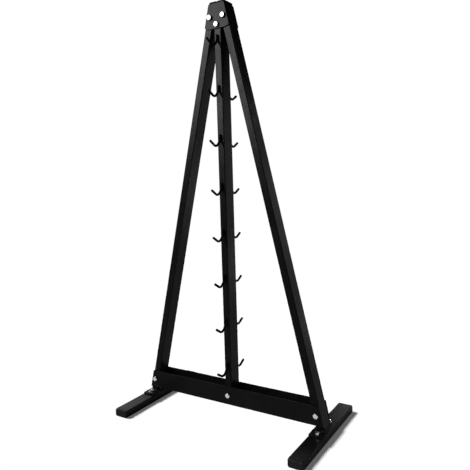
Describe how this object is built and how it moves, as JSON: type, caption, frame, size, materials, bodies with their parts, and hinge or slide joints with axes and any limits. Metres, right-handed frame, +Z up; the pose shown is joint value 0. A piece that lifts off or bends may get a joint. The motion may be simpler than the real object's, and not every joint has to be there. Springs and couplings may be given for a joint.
{
  "type": "free-standing cable attachment rack",
  "caption": "Free-standing A-frame rack of black rectangular tube; rod hooks on the front and rear of its centre post hold cable attachments and handles.",
  "frame": {"origin": "on the floor, midway between the two feet and midway along them", "axes": "+X along the rack's width towards the right foot as seen from the front, -Y towards the front, where the bolt heads are, +Z up"},
  "size_m": [0.8566, 0.496, 1.6425],
  "materials": {
    "black_powder_coat": "fine-textured black powder coat, semi-matt",
    "hook_powder_coat": "black powder coat on round rod, slightly glossier",
    "bright_zinc": "bright zinc-plated steel",
    "black_plastic": "moulded black plastic, fine grain"
  },
  "bodies": {
    "root": {"centre_post": "black_powder_coat", "left_leg": "black_powder_coat", "left_leg_cap": "black_plastic", "left_base_plate": "black_powder_coat", "left_foot_tube": "black_powder_coat", "left_foot_cap_front": "black_plastic", "left_foot_cap_rear": "black_plastic", "right_leg": "black_powder_coat", "right_leg_cap": "black_plastic", "right_base_plate": "black_powder_coat", "right_foot_tube": "black_powder_coat", "right_foot_cap_front": "black_plastic", "right_foot_cap_rear": "black_plastic", "head_plate_front": "black_powder_coat", "crossbar_plate_front": "black_powder_coat", "head_plate_rear": "black_powder_coat", "crossbar_plate_rear": "black_powder_coat", "hook_front_1": "hook_powder_coat", "hook_front_2": "hook_powder_coat", "hook_front_3": "hook_powder_coat", "hook_front_4": "hook_powder_coat", "hook_front_5": "hook_powder_coat", "hook_front_6": "hook_powder_coat", "hook_front_7": "hook_powder_coat", "hook_front_8": "hook_powder_coat", "hook_rear_1": "hook_powder_coat", "hook_rear_2": "hook_powder_coat", "hook_rear_3": "hook_powder_coat", "hook_rear_4": "hook_powder_coat", "hook_rear_5": "hook_powder_coat", "hook_rear_6": "hook_powder_coat", "hook_rear_7": "hook_powder_coat", "hook_rear_8": "hook_powder_coat", "head_bolt_left": "bright_zinc", "head_nut_left": "bright_zinc", "head_bolt_post": "bright_zinc", "head_nut_post": "bright_zinc", "head_bolt_right": "bright_zinc", "head_nut_right": "bright_zinc", "crossbar_bolt_left": "bright_zinc", "crossbar_nut_left": "bright_zinc", "crossbar_bolt_post": "bright_zinc", "crossbar_nut_post": "bright_zinc", "crossbar_bolt_right": "bright_zinc", "crossbar_nut_right": "bright_zinc", "foot_bolt_left_front": "bright_zinc", "foot_washer_left_front": "bright_zinc", "foot_nut_left_front": "bright_zinc", "foot_bolt_left_rear": "bright_zinc", "foot_washer_left_rear": "bright_zinc", "foot_nut_left_rear": "bright_zinc", "foot_bolt_right_front": "bright_zinc", "foot_washer_right_front": "bright_zinc", "foot_nut_right_front": "bright_zinc", "foot_bolt_right_rear": "bright_zinc", "foot_washer_right_rear": "bright_zinc", "foot_nut_right_rear": "bright_zinc"}
  },
  "joints": []
}
